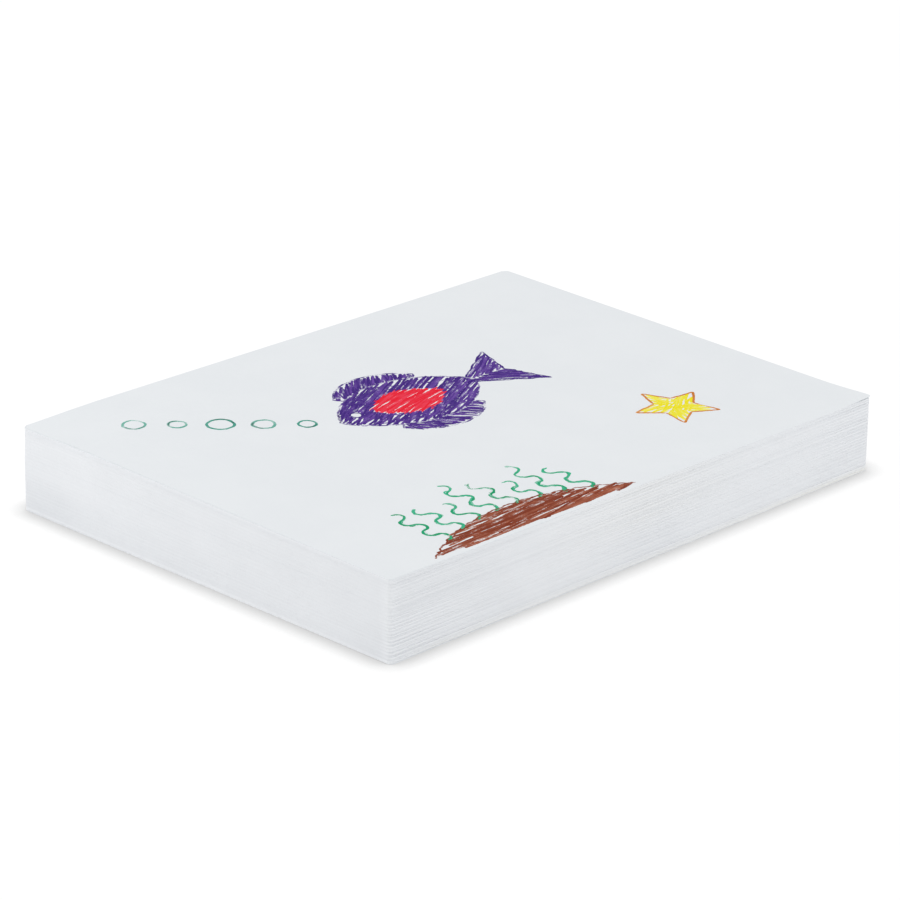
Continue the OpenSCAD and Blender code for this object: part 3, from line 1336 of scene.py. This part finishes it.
    def draw_bed(self) -> None:
        """Draws the sea bed."""
        hand = Hand(34)
        bed = lens(self.bed[0], self.bed[1] * 2)
        bed = bed[bed[:, 1] > -0.01]
        bed = bed[np.argsort(bed[:, 0])] + [self.bed_x, self.bed_y]
        hand.trace(bed, 1.1, 0.52, 0.7, closed=False)
        hand.fill(bed, 3.0, 2.4, 1.45, 0.6, 4.0)
        hand.fill(bed, 8.0, 3.6, 1.35, 0.6, 7.0)
        hand.fill(bed, 175.0, 6.0, 1.3, 0.56, 7.0)
        core = lens(self.bed[0] * 0.8, self.bed[1] * 0.5) + [self.bed_x, self.bed_y + self.bed[1] * 0.4]
        hand.fill(core, 2.0, 2.6, 1.4, 0.7, 5.0)
        self.layer("bed_strokes", Slot.BROWN, "crayon_sea_bed", hand)

    def draw_weeds(self) -> None:
        """Draws the weeds that wind up from the sea bed."""
        hand = Hand(35)
        for number in range(self.stem_count):
            x = self.weed_row * (number / (self.stem_count - 1) - 0.5)
            foot = self.bed_y + self.bed_top(x)
            bends = self.bend_count - number % 3
            path = []
            for bend in range(bends):
                side = 1.0 if bend % 2 == 0 else -1.0
                for angle in np.linspace(-90.0, 90.0, 10)[: None if bend == bends - 1 else -1]:
                    turn = math.radians(angle)
                    up = foot + self.weed_r * (2 * bend + 1) + self.weed_r * math.sin(turn)
                    path.append((self.bed_x + x + side * self.weed_r * math.cos(turn), up))
            stem = np.array([(path[0][0], path[0][1] - 2.0)] + path)
            hand.pull(hand.wobble(resample(stem, 0.8), 0.25, 11.0), 1.4, 0.62, 0.65)
            hand.pull(hand.wobble(resample(stem, 0.8), 1.3, 17.0), 1.0, 0.5, 0.2)
            hand.pull(hand.wobble(resample(stem[: len(stem) * 2 // 3], 0.8), 0.8, 15.0), 1.2, 0.6, 0.6)
        self.layer("weed_strokes", Slot.GREEN, "crayon_weeds", hand)

    def star_outline(self, tip: float, hollow: float) -> Array:
        """Corners of a five-armed star.

        Args:
            tip: Radius of the arms' tips.
            hollow: Radius of the hollows between them.

        Returns:
            The ten corners.
        """
        corners = []
        for number in range(10):
            turn = math.radians(90.0 + 36.0 * number)
            radius = tip if number % 2 == 0 else hollow
            corners.append((self.star[0] + radius * math.cos(turn), self.star[1] + radius * math.sin(turn)))
        return np.array(corners)

    def draw_star(self) -> None:
        """Draws the starfish and its edge."""
        hand = Hand(36)
        star = self.star_outline(self.star_r - self.line_w, self.hollow_r - self.line_w / 2)
        for arm in range(5):
            tip = star[2 * arm]
            left, right = star[2 * arm - 1], star[2 * arm + 1]
            wedge = np.array([tip, left, np.array(self.star), right])
            hand.fill(wedge, 90.0 + 72.0 * arm + 14.0, 2.1, 1.45, 0.66, 0.3)
        hand.fill(star[1::2], 24.0, 2.6, 1.4, 0.66, 0.8)
        self.layer("star_strokes", Slot.YELLOW, "crayon_starfish", hand)
        hand = Hand(37)
        edge = self.star_outline(self.star_r - self.line_w / 2, self.hollow_r - self.line_w / 4)
        edge = np.concatenate([edge, edge[:1]])
        for start, stop in zip(edge, edge[1:]):
            hand.pull(hand.wobble(resample(np.array([start, stop]), 0.8), 0.22, 9.0), 1.35, 0.68, 0.65)
        self.layer("star_edge_strokes", Slot.ORANGE, "crayon_starfish_edge", hand)

    def build(self) -> None:
        """Draws everything."""
        self.draw_bed()
        self.draw_weeds()
        self.draw_fish()
        self.draw_bubbles()
        self.draw_star()


# Studio


@dataclass(frozen=True)
class Studio:
    """Pale floor with a painted shadow round the pack, soft light from all round, two faint lamps, and the
    camera.
    """

    eye: tuple[float, float, float] = (-1.2485, -1.2139, 0.7149)
    yaw: float = 44.23
    pitch: float = 21.79
    roll: float = -0.70
    focal_px: float = 4212.0
    picture_px: float = 900.0
    sensor_mm: float = 36.0
    sky: float = 0.93
    painted_shadow_reach: float = 0.011
    painted_shadow_depth: float = 0.71
    plain_white: float = 0.75

    @staticmethod
    def seen(sheet: NodeSheet) -> Socket:
        """Share of the plain white background: 1 for what the camera, gloss and glass see.

        Args:
            sheet: Node sheet of the material or world.

        Returns:
            The share.
        """
        path = sheet.add("ShaderNodeLightPath")
        both = sheet.maths("MAXIMUM", path.outputs["Is Camera Ray"], path.outputs["Is Glossy Ray"])
        return sheet.maths("MAXIMUM", both, path.outputs["Is Transmission Ray"])

    def build_camera(self) -> None:
        """Places the camera where the photograph was taken from."""
        yaw, pitch, roll = (math.radians(angle) for angle in (self.yaw, self.pitch, self.roll))
        ahead = Vector((math.cos(yaw) * math.cos(pitch), math.sin(yaw) * math.cos(pitch), -math.sin(pitch)))
        right = Vector((math.sin(yaw), -math.cos(yaw), 0.0))
        down = ahead.cross(right)
        side = right * math.cos(roll) + down * math.sin(roll)
        below = down * math.cos(roll) - right * math.sin(roll)
        data = bpy.data.cameras.new("camera")
        data.sensor_width = self.sensor_mm
        data.lens = self.focal_px * self.sensor_mm / self.picture_px
        data.clip_start = 0.05
        data.clip_end = 50.0
        camera = new_object("camera", data)
        turn = Matrix((side, -below, -ahead)).transposed().to_4x4()
        camera.matrix_world = Matrix.Translation(self.eye) @ turn
        bpy.context.scene.camera = camera

    def build_world(self) -> None:
        """Makes the even light of the room, and the white that shows behind the object."""
        world = bpy.data.worlds.new("room")
        bpy.context.scene.world = world
        world.use_nodes = True
        world.node_tree.nodes.clear()
        sheet = NodeSheet(world.node_tree)
        light = sheet.add("ShaderNodeBackground", {"Color": (1.0, 1.0, 1.0, 1.0), "Strength": self.sky})
        white = sheet.add("ShaderNodeBackground", {"Color": (1.0, 1.0, 1.0, 1.0), "Strength": 1.0})
        inputs = {0: self.seen(sheet), 1: light.outputs[0], 2: white.outputs[0]}
        both = sheet.add("ShaderNodeMixShader", inputs)
        sheet.add("ShaderNodeOutputWorld", {"Surface": both.outputs[0]})

    def build_floor(self) -> None:
        """Makes the white floor, with a painted shadow round the pack from ambient occlusion."""
        mesh = bpy.data.meshes.new("floor")
        mesh.from_pydata([(-8, -8, 0), (8, -8, 0), (8, 8, 0), (-8, 8, 0)], [], [(0, 1, 2, 3)])
        floor = new_object("floor", mesh)
        material, sheet, shader = new_material("floor")
        # Painted shadow: ambient occlusion darkens the floor's colour and glow near the pack for what the
        # camera, gloss and glass see.
        near = sheet.add("ShaderNodeAmbientOcclusion", {"Distance": self.painted_shadow_reach}, samples=16)
        shade = sheet.maths("SUBTRACT", 1.0, near.outputs["AO"])
        shade = sheet.maths("SUBTRACT", 1.0, sheet.maths("MULTIPLY", shade, self.painted_shadow_depth))
        seen = self.seen(sheet)
        look = sheet.maths("MULTIPLY", shade, 1.0 - self.plain_white)
        colour = sheet.mix(seen, (0.94, 0.94, 0.94), look)
        sheet.tree.links.new(colour, shader.inputs["Base Color"])
        shader.inputs["Roughness"].default_value = 0.9
        shader.inputs["Specular IOR Level"].default_value = 0.0
        glow = sheet.maths("MULTIPLY", sheet.maths("MULTIPLY", seen, self.plain_white + 0.04), shade)
        white = sheet.add("ShaderNodeEmission", {"Color": (1.0, 1.0, 1.0, 1.0), "Strength": glow})
        both = sheet.add("ShaderNodeAddShader", {0: shader.outputs[0], 1: white.outputs[0]})
        output = next(node for node in sheet.tree.nodes if node.type == "OUTPUT_MATERIAL")
        sheet.tree.links.new(both.outputs[0], output.inputs["Surface"])
        mesh.materials.append(material)

    def build_lamps(self) -> None:
        """Makes two faint soft lamps: a window on the left and a low white card on the right."""
        lamps = (
            ("window", (-0.50, 0.34, 0.24), (0.4, 0.3), 0.27),
            ("card", (0.20, -0.50, 0.08), (0.5, 0.12), 0.10),
        )
        for name, place, size, power in lamps:
            data = bpy.data.lights.new(name, "AREA")
            data.shape = "RECTANGLE"
            data.size, data.size_y = size
            data.energy = power
            lamp = new_object(name, data)
            lamp.location = place
            aim = Vector((0.0, 0.0, 0.02)) - Vector(place)
            lamp.rotation_euler = aim.to_track_quat("-Z", "Y").to_euler()
            lamp.visible_camera = False

    def build(self) -> None:
        """Builds the whole studio."""
        self.build_camera()
        self.build_world()
        self.build_floor()
        self.build_lamps()
        bpy.context.scene.view_settings.view_transform = "Standard"


def main() -> None:
    """Builds the studio and dresses the pack, sheet by sheet and colour by colour."""
    logging.basicConfig(level=logging.INFO, format="%(name)s: %(message)s")
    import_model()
    Studio().build()
    palette = Palette()
    palette.build()
    sizes = PackSizes()
    settling = Settling(sizes)
    grid = SheetGrid(sizes)
    Pile(sizes, settling, grid, palette).build()
    sheets = LooseSheets(sizes, settling, grid, palette)
    sheets.build()
    CrayonDrawing(sheets, palette).build()


if __name__ == "__main__":
    main()
